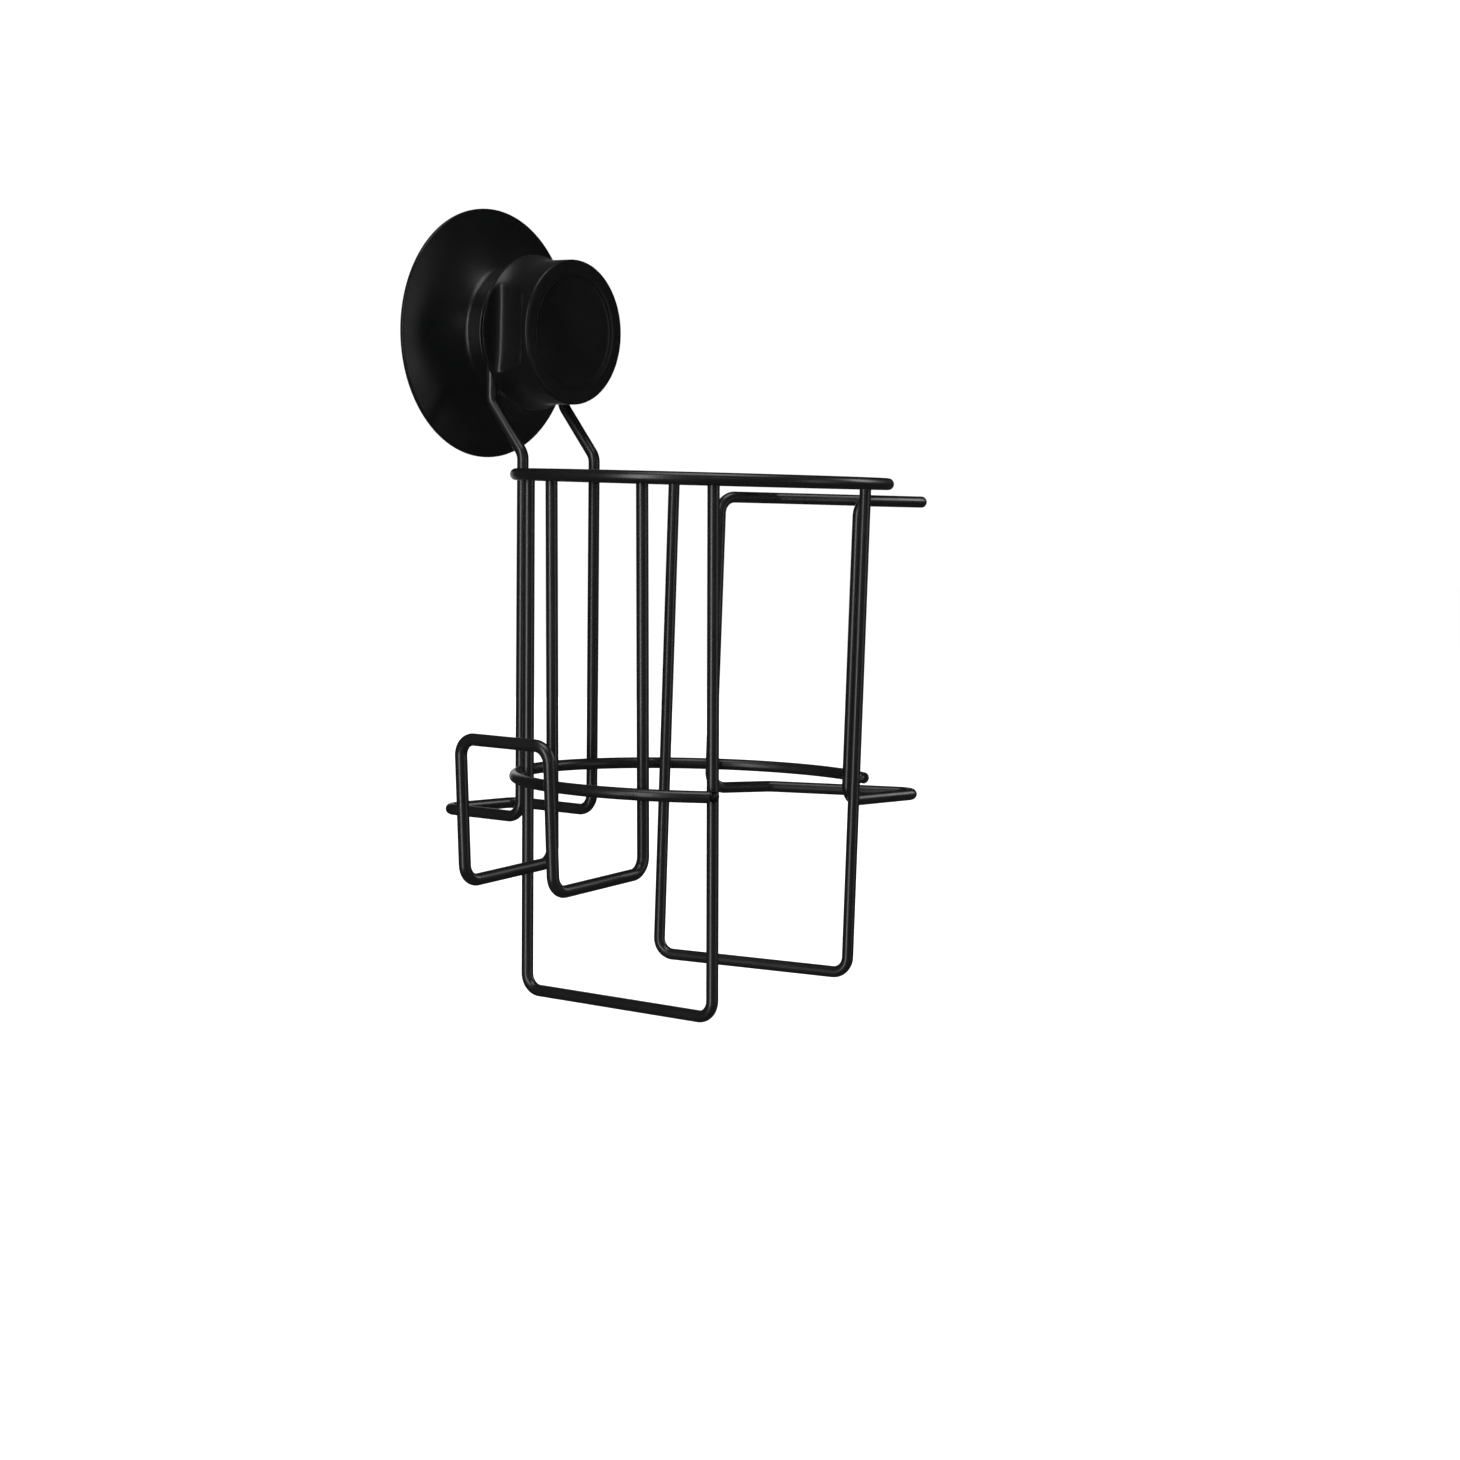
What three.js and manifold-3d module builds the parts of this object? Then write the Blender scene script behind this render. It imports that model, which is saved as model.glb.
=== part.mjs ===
// Wall-mounted hair dryer holder: a black wire rack that hangs on the neck of a rubber suction cup.
// Units are millimetres, +Z is up. The wall is the plane Y = 0 and the holder stands out along -Y.
// The origin is the centre of the suction cup's rim, on the wall.

import * as THREE from 'three';
import { mergeVertices } from 'three/addons/utils/BufferGeometryUtils.js';
import Module from 'manifold-3d';

// ---- Driving dimensions ------------------------------------------------------------------------

const WIRE_R = 1.6;               // radius of the coated steel wire
const WIRE_SIDES = 10;            // sides of the wire's section
const BEND_R = 4.5;               // centreline radius of a tight bend
const BEND_STEP = 15;             // degrees of bend between two sections
const WELD_GAP = 0.3;             // space left between two wires that a weld joins
const CROSSING = 2 * WIRE_R + WELD_GAP;   // centre distance of two wires that touch

const CUP_R = 35;                 // rim of the suction cup
const CUP_LIP_W = 3.5;            // flat sealing lip that meets the wall
const CUP_EDGE_T = 1.2;           // thickness of the rubber at the rim
const CUP_HOLLOW = 8.5;           // depth of the vacuum hollow at its centre
const CUP_SIDES = 56;             // facets round the cup's axis
const DISH_CURVE = [0.45, 2.6];   // even share of the dish's rise, and the power of the steepening rest
const COLLAR_R = 18;              // flange between the dish and the neck
const COLLAR_STEP = [0.5, 0.6];   // small shoulder round the collar's foot, sideways and outwards
const HEAD_R = 20;                // head that keeps the hanger wire on the neck
const HEAD_LIP_R = 21.6;          // the head flares to this radius beside the neck
const HEAD_WAIST_Y = -25;         // where the flare has faded out
const COLLAR_Y = -9;              // start of the collar, out from the wall
const GROOVE_Y = -16.5;           // middle of the neck groove
const GROOVE_W = 2 * WIRE_R + 2 * WELD_GAP;
const HEAD_Y = -33.5;             // front face of the head
const HEAD_ROUND = 1.6;           // rounded edges of the head
const RECESS_R = [6.6, 6.8, 21];  // half sizes of the ellipsoid that hollows each side of the head
const RECESS_X = 22.4;            // its centre, to the side and out from the wall
const RECESS_Y = -24.6;
const RECESS_UP = 1.8;            // the cup is stuck on slightly turned: left recess up, right one down

const TOP_R = 50;                 // centreline radius of the top ring
const TOP_Y = -80.1;              // centre of the top ring, out from the wall
const TOP_Z = -39.8;              // level of the top ring
const TOP_SIDES = 72;             // straight pieces round the top ring
const UPRIGHT_END = 0.9;          // an upright's cut end above the middle of the top ring's wire
const LOW_R = 49.1;               // centreline radius of the open lower ring
const LOW_Y = -80.9;
const LOW_Z = -120.8;
const LOW_TURN = 1.7;             // degrees that the lower ring is turned against the top one
const LOW_END_LEFT = -49;         // degrees from straight ahead to each end of the lower ring
const LOW_END_RIGHT = 57;

// Places of the uprights round the top ring, in degrees from straight ahead towards +X.
const LEFT_CRADLE = { front: -47.6, rear: -138.6, bottomZ: -178.5 };
const RIGHT_CRADLE = { front: 54.8, rear: 138.6, bottomZ: -175 };
const HOOK_LEGS = { front: -70.4, rear: -108.9 };
const LOOP_LEGS = { front: 60.4, rear: 122 };

const HOOK_Z = -141.2;            // arms of the cord hook where they leave the uprights
const HOOK_X = -76.8;             // foot of the hook's outer frame
const HOOK_DROOP = 4.5;           // degrees that the hook's arms slope down
const HOOK_H = 37;                // height of the hook's outer frame
const LOOP_TOP_Z = TOP_Z - 4.6;   // side loops, each under its ring
const LOOP_LOW_Z = LOW_Z - 6.6;
const LOOP_TIP = [76.3, -103.1];  // outer corner of the side loops, in plan
const LOOP_BACK = [56, -63];      // second corner, nearer the wall

const HANGER_X = 15;              // half the distance between the hanger's legs
const HANGER_KNEE_Z = -34.1;      // where the legs leave the ring's back and lean to the wall
const HANGER_NECK_Z = -19.6;      // where they run upright again, in line with the neck groove
const NECK_R = HANGER_X - WIRE_R - WELD_GAP;
const FOOT_Z = -134.5;            // level of the bar that rests on the wall
const FOOT_Y = -WIRE_R - 0.1;

// ---- Materials ---------------------------------------------------------------------------------

const coatedSteel = () => new THREE.MeshStandardMaterial({ color: 0x121214, roughness: 0.42, metalness: 0.1 });
const blackRubber = () => new THREE.MeshStandardMaterial({ color: 0x0e0f12, roughness: 0.6, metalness: 0.0 });

// ---- Helpers -----------------------------------------------------------------------------------

const v = (x, y, z) => new THREE.Vector3(x, y, z);
const rad = THREE.MathUtils.degToRad;

// A point on a level circle. The angle runs from straight ahead (-Y) towards +X.
function onRing(radius, centreY, z, degrees) {
  return v(radius * Math.sin(rad(degrees)), centreY - radius * Math.cos(rad(degrees)), z);
}

// The point at height z on the straight line through two others.
function atHeight(a, b, z) {
  return a.clone().lerp(b, (z - a.z) / (b.z - a.z));
}

// A bent wire's centreline: straight runs between corners, each corner rounded to a radius.
// Its stations are the points where the section is placed, with the direction of the wire there.
class WirePath extends THREE.Curve {
  constructor(corners, bendR = BEND_R) {
    super();
    this.stations = [];
    const last = corners.length - 1;
    this.push(corners[0], corners[1].clone().sub(corners[0]));
    for (let i = 1; i < last; i += 1) this.bend(corners[i - 1], corners[i], corners[i + 1], bendR);
    this.push(corners[last], corners[last].clone().sub(corners[last - 1]));
  }

  push(point, direction) {
    this.stations.push({ point: point.clone(), tangent: direction.clone().normalize() });
  }

  bend(before, corner, after, bendR) {
    const inDir = corner.clone().sub(before).normalize();
    const outDir = after.clone().sub(corner).normalize();
    const turn = inDir.angleTo(outDir);
    const setback = bendR * Math.tan(turn / 2);
    const start = corner.clone().addScaledVector(inDir, -setback);
    const side = outDir.clone().addScaledVector(inDir, -outDir.dot(inDir)).normalize();
    const steps = Math.max(2, Math.ceil(THREE.MathUtils.radToDeg(turn) / BEND_STEP));
    for (let i = 0; i <= steps; i += 1) {
      const a = turn * i / steps;
      const point = start.clone().addScaledVector(inDir, bendR * Math.sin(a));
      point.addScaledVector(side, bendR * (1 - Math.cos(a)));
      const tangent = inDir.clone().multiplyScalar(Math.cos(a)).addScaledVector(side, Math.sin(a));
      this.push(point, tangent);
    }
  }

  at(u, key) {
    const k = u * (this.stations.length - 1);
    const i = Math.min(Math.floor(k), this.stations.length - 2);
    return this.stations[i][key].clone().lerp(this.stations[i + 1][key], k - i);
  }

  getPoint(t, target = new THREE.Vector3()) { return target.copy(this.at(t, 'point')); }

  getPointAt(u, target = new THREE.Vector3()) { return this.getPoint(u, target); }

  getTangent(t, target = new THREE.Vector3()) { return target.copy(this.at(t, 'tangent').normalize()); }

  getTangentAt(u, target = new THREE.Vector3()) { return this.getTangent(u, target); }
}

function wireSection() {
  const points = [];
  for (let i = 0; i < WIRE_SIDES; i += 1) {
    const a = 2 * Math.PI * i / WIRE_SIDES;
    points.push(new THREE.Vector2(WIRE_R * Math.cos(a), WIRE_R * Math.sin(a)));
  }
  return new THREE.Shape(points);
}

function sweepWire(path) {
  return new THREE.ExtrudeGeometry(wireSection(), { steps: path.stations.length - 1, extrudePath: path });
}

function named(name, geometry, material) {
  const mesh = new THREE.Mesh(geometry, material);
  mesh.name = name;
  return mesh;
}

const wasm = await Module();
wasm.setup();

function toSolid(geometry) {
  const bare = geometry.clone();
  bare.deleteAttribute('normal');
  bare.deleteAttribute('uv');
  const merged = mergeVertices(bare, 1e-4);
  return new wasm.Manifold(new wasm.Mesh({
    numProp: 3,
    vertProperties: new Float32Array(merged.attributes.position.array),
    triVerts: new Uint32Array(merged.index.array),
  }));
}

function toGeometry(solid) {
  const mesh = solid.getMesh();
  const geometry = new THREE.BufferGeometry();
  geometry.setAttribute('position', new THREE.BufferAttribute(new Float32Array(mesh.vertProperties), 3));
  geometry.setIndex(new THREE.BufferAttribute(new Uint32Array(mesh.triVerts), 1));
  geometry.computeVertexNormals();
  return geometry;
}

// ---- Suction cup -------------------------------------------------------------------------------

// Half section of the cup as (radius, distance out from the wall), from the hollow's middle round to
// the middle of the head's front face.
function cupProfile() {
  const points = [];
  const hollowR = CUP_R - CUP_LIP_W;
  const arcs = 7;
  for (let i = 0; i <= arcs; i += 1) {
    const r = hollowR * i / arcs;
    points.push([r, CUP_HOLLOW * (1 - (r / hollowR) ** 2)]);
  }
  points.push([CUP_R, 0], [CUP_R, CUP_EDGE_T]);
  const dishRise = -COLLAR_Y - CUP_EDGE_T;
  const [even, power] = DISH_CURVE;
  const [stepR, stepOut] = COLLAR_STEP;
  for (let i = 1; i <= arcs; i += 1) {
    const s = i / arcs;
    const rise = even * s + (1 - even) * s ** power;
    points.push([CUP_R + (COLLAR_R + stepR - CUP_R) * s, CUP_EDGE_T + dishRise * rise]);
  }
  const grooveBack = -GROOVE_Y - GROOVE_W / 2;
  const grooveFront = -GROOVE_Y + GROOVE_W / 2;
  points.push([COLLAR_R, -COLLAR_Y + stepOut], [COLLAR_R, grooveBack], [NECK_R, grooveBack]);
  points.push([NECK_R, grooveFront], [HEAD_LIP_R - HEAD_ROUND / 2, grooveFront]);
  points.push([HEAD_LIP_R, grooveFront + HEAD_ROUND / 2]);
  points.push([(2 * HEAD_R + HEAD_LIP_R) / 3, (grooveFront - HEAD_WAIST_Y) / 2]);
  points.push([HEAD_R, -HEAD_WAIST_Y], [HEAD_R, -HEAD_Y - HEAD_ROUND]);
  const inset = HEAD_ROUND * (1 - Math.SQRT1_2);
  points.push([HEAD_R - inset, -HEAD_Y - inset], [HEAD_R - HEAD_ROUND, -HEAD_Y]);
  points.push([0, -HEAD_Y]);
  return points.map(([r, out]) => new THREE.Vector2(r, out));
}

// Oval thumb recess in the side of the head, where fingers pinch it to pull the cup off the wall.
function thumbRecess(side) {
  const geometry = new THREE.SphereGeometry(1, 28, 14);
  geometry.scale(...RECESS_R);
  geometry.translate(side * RECESS_X, RECESS_Y, -side * RECESS_UP);
  return toSolid(geometry);
}

function suctionCup() {
  const geometry = new THREE.LatheGeometry(cupProfile(), CUP_SIDES);
  geometry.rotateX(Math.PI);
  const body = toSolid(geometry).subtract(thumbRecess(-1)).subtract(thumbRecess(1));
  return named('suction_cup', toGeometry(body), blackRubber());
}

// ---- Wire rack ---------------------------------------------------------------------------------

function topRing() {
  const geometry = new THREE.TorusGeometry(TOP_R, WIRE_R, WIRE_SIDES, TOP_SIDES);
  geometry.translate(0, TOP_Y, TOP_Z);
  return named('top_ring', geometry, coatedSteel());
}

// The lower ring is open at the front, so that the dryer goes in from there.
function lowerRing() {
  const step = 5;
  const start = LOW_END_RIGHT + LOW_TURN;
  const sweep = 360 - LOW_END_RIGHT + LOW_END_LEFT;
  const path = new WirePath([v(0, 0, 0), v(0, 0, 1)]);
  path.stations = [];
  const steps = Math.ceil(sweep / step);
  for (let i = 0; i <= steps; i += 1) {
    const a = start + sweep * i / steps;
    path.push(onRing(LOW_R, LOW_Y, LOW_Z, a), v(Math.cos(rad(a)), Math.sin(rad(a)), 0));
  }
  return named('lower_ring', sweepWire(path), coatedSteel());
}

// The line of an upright that is welded inside both rings, as its points at each ring's level.
function uprightLine(degrees) {
  return [
    onRing(TOP_R - CROSSING, TOP_Y, TOP_Z, degrees),
    onRing(LOW_R - CROSSING, LOW_Y, LOW_Z, degrees + LOW_TURN),
  ];
}

function uprightEnd(degrees) {
  const [top, low] = uprightLine(degrees);
  return atHeight(top, low, TOP_Z + UPRIGHT_END);
}

function uprightAt(degrees, z) {
  const [top, low] = uprightLine(degrees);
  return atHeight(top, low, z);
}

// A U-shaped wire down one side of the rack: rear upright, bottom bar, front upright.
function cradleWire(name, { front, rear, bottomZ }) {
  const corners = [uprightEnd(rear), uprightAt(rear, bottomZ), uprightAt(front, bottomZ), uprightEnd(front)];
  return named(name, sweepWire(new WirePath(corners)), coatedSteel());
}

// Two uprights on the left whose lower ends run out and up into a square hook for the coiled cord.
function cordHookWire() {
  const droop = rad(HOOK_DROOP);
  const foot = (leg) => v(HOOK_X, leg.y, leg.z - (leg.x - HOOK_X) * Math.tan(droop));
  const head = (at) => v(at.x - HOOK_H * Math.sin(droop), at.y, at.z + HOOK_H * Math.cos(droop));
  const front = uprightAt(HOOK_LEGS.front, HOOK_Z);
  const rear = uprightAt(HOOK_LEGS.rear, HOOK_Z);
  const corners = [
    uprightEnd(HOOK_LEGS.front), front, foot(front), head(foot(front)),
    head(foot(rear)), foot(rear), rear, uprightEnd(HOOK_LEGS.rear),
  ];
  return named('cord_hook_wire', sweepWire(new WirePath(corners)), coatedSteel());
}

// One closed wire on the right: two uprights joined by a level loop under each ring.
// Its ends meet half way up the rear upright.
function sideLoopWire() {
  const tip = (z) => v(LOOP_TIP[0], LOOP_TIP[1], z);
  const back = (z) => v(LOOP_BACK[0], LOOP_BACK[1], z);
  const seamZ = (LOOP_TOP_Z + LOOP_LOW_Z) / 2;
  const corners = [
    uprightAt(LOOP_LEGS.rear, seamZ + WELD_GAP / 2),
    uprightAt(LOOP_LEGS.rear, LOOP_TOP_Z), back(LOOP_TOP_Z), tip(LOOP_TOP_Z),
    uprightAt(LOOP_LEGS.front, LOOP_TOP_Z), uprightAt(LOOP_LEGS.front, LOOP_LOW_Z),
    tip(LOOP_LOW_Z), back(LOOP_LOW_Z), uprightAt(LOOP_LEGS.rear, LOOP_LOW_Z),
    uprightAt(LOOP_LEGS.rear, seamZ - WELD_GAP / 2),
  ];
  return named('side_loop_wire', sweepWire(new WirePath(corners)), coatedSteel());
}

// A hanger leg stands outside the rings, against their backs.
function hangerLegY(ringR, ringY) {
  return ringY + Math.sqrt((ringR + CROSSING) ** 2 - HANGER_X ** 2);
}

// The wire that carries the rack: an arch over the cup's neck, two legs down the back, and a foot
// that stands off to the wall. Its ends meet in the middle of the foot bar.
function hangerWire() {
  const topY = hangerLegY(TOP_R, TOP_Y);
  const lowY = hangerLegY(LOW_R, LOW_Y);
  const legAt = (side, z) => atHeight(v(side * HANGER_X, topY, TOP_Z), v(side * HANGER_X, lowY, LOW_Z), z);
  const legCorners = (side) => [
    v(side * WELD_GAP / 2, FOOT_Y, FOOT_Z), v(side * HANGER_X, FOOT_Y, FOOT_Z),
    legAt(side, FOOT_Z), legAt(side, HANGER_KNEE_Z),
    v(side * HANGER_X, GROOVE_Y, HANGER_NECK_Z), v(side * HANGER_X, GROOVE_Y, 0),
  ];
  const path = new WirePath(legCorners(-1));
  const archSteps = 12;
  for (let i = 1; i < archSteps; i += 1) {
    const a = Math.PI * i / archSteps;
    path.push(v(-HANGER_X * Math.cos(a), GROOVE_Y, HANGER_X * Math.sin(a)), v(Math.sin(a), 0, Math.cos(a)));
  }
  const rightLeg = new WirePath(legCorners(1)).stations.reverse();
  for (const { point, tangent } of rightLeg) path.push(point, tangent.clone().negate());
  return named('hanger_wire', sweepWire(path), coatedSteel());
}

// ---- Assembly ----------------------------------------------------------------------------------

const holder = new THREE.Group();
holder.name = 'hair_dryer_holder';
holder.add(
  suctionCup(),
  hangerWire(),
  topRing(),
  lowerRing(),
  cradleWire('cradle_wire_left', LEFT_CRADLE),
  cradleWire('cradle_wire_right', RIGHT_CRADLE),
  cordHookWire(),
  sideLoopWire(),
);

export default holder;
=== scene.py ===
"""Looks of a wall-mounted hair dryer holder: a black coated wire rack hung on a rubber suction cup.

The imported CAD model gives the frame, in metres, +Z up, with the wall in the plane Y = 0. Every wire is
redrawn round along the same centreline, with its bends, cut ends and welds, and the cup is remoulded
with its fine profile. The two sub-assemblies are the classes SuctionCup and WireRack.
"""

import logging
import math
from dataclasses import dataclass, field
from enum import Enum

import bpy
from mathutils import Matrix, Vector


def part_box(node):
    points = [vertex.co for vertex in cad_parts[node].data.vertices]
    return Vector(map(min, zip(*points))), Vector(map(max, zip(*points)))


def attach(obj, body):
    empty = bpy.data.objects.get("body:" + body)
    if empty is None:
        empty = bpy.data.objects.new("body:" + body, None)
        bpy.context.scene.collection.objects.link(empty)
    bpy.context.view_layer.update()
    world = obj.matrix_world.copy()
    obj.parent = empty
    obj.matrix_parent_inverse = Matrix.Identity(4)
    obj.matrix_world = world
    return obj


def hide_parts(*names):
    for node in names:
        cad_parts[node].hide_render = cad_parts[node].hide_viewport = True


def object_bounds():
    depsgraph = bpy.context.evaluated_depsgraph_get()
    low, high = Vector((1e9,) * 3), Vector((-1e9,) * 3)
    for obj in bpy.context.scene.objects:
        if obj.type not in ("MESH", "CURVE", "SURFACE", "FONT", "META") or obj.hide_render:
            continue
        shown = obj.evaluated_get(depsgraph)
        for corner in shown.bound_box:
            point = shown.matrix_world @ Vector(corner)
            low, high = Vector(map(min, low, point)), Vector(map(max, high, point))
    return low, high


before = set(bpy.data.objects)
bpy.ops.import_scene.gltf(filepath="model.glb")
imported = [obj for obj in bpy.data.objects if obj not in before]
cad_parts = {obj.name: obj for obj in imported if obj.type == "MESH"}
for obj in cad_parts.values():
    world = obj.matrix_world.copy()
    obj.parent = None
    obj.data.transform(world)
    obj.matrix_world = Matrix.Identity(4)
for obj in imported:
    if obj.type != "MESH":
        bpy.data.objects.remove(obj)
CAD_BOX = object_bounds()

LOG = logging.getLogger("dryer_holder")
MM = 0.001                       # one millimetre in scene units


class Body(Enum):
    """The two rigid bodies of the holder."""

    CUP = "cup"
    RACK = "rack"


class Slot(Enum):
    """The finishes that the record names."""

    RUBBER = "cup_rubber"
    WIRE = "coated_wire"


class Side(Enum):
    """A side of the holder, seen from the front."""

    LEFT = -1
    RIGHT = 1


# ---- Node helpers -----------------------------------------------------------------------------------


def linear(hex_colour: str) -> tuple[float, float, float, float]:
    """Turn an sRGB hex colour into linear red, green, blue and alpha.

    Args:
        hex_colour: Colour such as "#1a1b1e".

    Returns:
        Linear components, with an alpha of 1.
    """
    parts = [int(hex_colour[i:i + 2], 16) / 255 for i in (1, 3, 5)]
    red, green, blue = (c / 12.92 if c <= 0.04045 else ((c + 0.055) / 1.055) ** 2.4 for c in parts)
    return red, green, blue, 1.0


def add_node(tree: bpy.types.NodeTree, kind: str, settings: dict | None = None,
             inputs: dict | None = None) -> bpy.types.Node:
    """Add one node with its settings, values and incoming links.

    Args:
        tree: Tree that the node goes into.
        kind: Blender's name of the node's type.
        settings: Properties of the node by name.
        inputs: Input sockets by name or index. A socket as the value makes a link.

    Returns:
        The new node.
    """
    node = tree.nodes.new(kind)
    for name, value in (settings or {}).items():
        setattr(node, name, value)
    for key, value in (inputs or {}).items():
        if isinstance(value, bpy.types.NodeSocket):
            tree.links.new(value, node.inputs[key])
        else:
            node.inputs[key].default_value = value
    return node


def new_geometry_tree(name: str, sockets: dict[str, tuple[str, object]]) -> tuple:
    """Start a Geometry Nodes tree with a geometry input and named inputs for its sizes.

    Args:
        name: Name of the tree.
        sockets: Socket type and default value of each named input.

    Returns:
        The tree and its Group Input node.
    """
    tree = bpy.data.node_groups.new(name, "GeometryNodeTree")
    tree.interface.new_socket("Geometry", in_out="INPUT", socket_type="NodeSocketGeometry")
    for label, (socket_type, default) in sockets.items():
        socket = tree.interface.new_socket(label, in_out="INPUT", socket_type=socket_type)
        if default is not None:
            socket.default_value = default
    tree.interface.new_socket("Geometry", in_out="OUTPUT", socket_type="NodeSocketGeometry")
    return tree, add_node(tree, "NodeGroupInput")


def end_tree(tree: bpy.types.NodeTree, geometry: bpy.types.NodeSocket,
             material: bpy.types.NodeSocket) -> None:
    """Finish a Geometry Nodes tree: realize, shade smooth, give the material and put it out.

    Args:
        tree: Tree to finish.
        geometry: Socket that holds the made geometry.
        material: Socket that holds the material.
    """
    real = add_node(tree, "GeometryNodeRealizeInstances", inputs={"Geometry": geometry})
    smooth = add_node(tree, "GeometryNodeSetShadeSmooth", inputs={"Geometry": real.outputs["Geometry"]})
    dressed = add_node(tree, "GeometryNodeSetMaterial",
                       inputs={"Geometry": smooth.outputs["Geometry"], "Material": material})
    add_node(tree, "NodeGroupOutput", inputs={"Geometry": dressed.outputs["Geometry"]})


def made_by_nodes(name: str, host: bpy.types.Mesh, tree: bpy.types.NodeTree,
                  values: dict[str, object]) -> bpy.types.Object:
    """Run a Geometry Nodes tree on a mesh and keep the result as a plain mesh object.

    Args:
        name: Name of the new piece.
        host: Mesh that the tree works on.
        tree: Geometry Nodes tree.
        values: Named inputs of the tree.

    Returns:
        A new object at the origin, with no modifier.
    """
    piece = bpy.data.objects.new(name, host)
    bpy.context.scene.collection.objects.link(piece)
    modifier = piece.modifiers.new(tree.name, "NODES")
    modifier.node_group = tree
    for item in tree.interface.items_tree:
        if item.item_type == "SOCKET" and item.in_out == "INPUT" and item.name in values:
            modifier[item.identifier] = values[item.name]
    bpy.context.view_layer.update()
    graph = bpy.context.evaluated_depsgraph_get()
    made = bpy.data.meshes.new_from_object(piece.evaluated_get(graph), depsgraph=graph)
    made.name = name
    piece.modifiers.remove(modifier)
    piece.data = made
    bpy.data.meshes.remove(host)
    return piece


def mount_piece(piece: bpy.types.Object, body: Body, slot: Slot, *nodes: str) -> None:
    """Fix a finished piece to its body and hide the CAD nodes that it stands for.

    Args:
        piece: Finished object at the origin.
        body: Body that it moves with.
        slot: Finish that it takes; not used.
        *nodes: CAD nodes that it replaces, if any.
    """
    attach(piece, body.value)
    if nodes:
        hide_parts(*nodes)
    LOG.info("%s: %d faces, rides on %s", piece.name, len(piece.data.polygons), body.value)


# ---- Finishes ---------------------------------------------------------------------------------------


@dataclass(frozen=True)
class PowderCoat:
    """Satin black epoxy powder coat on steel wire.

    The baked coat flows into a smooth skin with a faint orange peel, so a lamp draws a long soft
    line down each wire that wavers a little.
    """

    colour: str = "#0c0c0d"
    thin_colour: str = "#101012"
    roughness: tuple[float, float] = (0.29, 0.36)
    peel_size: float = 1.1 * MM       # a real peel is near 0.5 mm; drawn coarser so that it shows
    peel_height: float = 0.012 * MM
    cloud_size: float = 9 * MM

    def material(self) -> bpy.types.Material:
        """Build the coat's material and return it."""
        material = bpy.data.materials.new("satin_black_powder_coat")
        material.use_nodes = True
        tree = material.node_tree
        shader = tree.nodes["Principled BSDF"]
        place = add_node(tree, "ShaderNodeTexCoord").outputs["Object"]
        cloud = add_node(tree, "ShaderNodeTexNoise",
                         inputs={"Vector": place, "Scale": 1 / self.cloud_size, "Detail": 4.0})
        tint = add_node(tree, "ShaderNodeMix", {"data_type": "RGBA"},
                        {0: cloud.outputs[0], 6: linear(self.colour), 7: linear(self.thin_colour)})
        gloss = add_node(tree, "ShaderNodeMapRange", inputs={
            "Value": cloud.outputs[0], "From Min": 0.3, "From Max": 0.7,
            "To Min": self.roughness[0], "To Max": self.roughness[1]})
        peel = add_node(tree, "ShaderNodeTexNoise",
                        inputs={"Vector": place, "Scale": 1 / self.peel_size, "Detail": 2.0})
        bump = add_node(tree, "ShaderNodeBump", inputs={
            "Height": peel.outputs[0], "Strength": 0.55, "Distance": self.peel_height})
        tree.links.new(tint.outputs[2], shader.inputs["Base Color"])
        tree.links.new(gloss.outputs[0], shader.inputs["Roughness"])
        tree.links.new(bump.outputs[0], shader.inputs["Normal"])
        shader.inputs["IOR"].default_value = 1.52
        shader.inputs["Specular IOR Level"].default_value = 0.6
        return material


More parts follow.
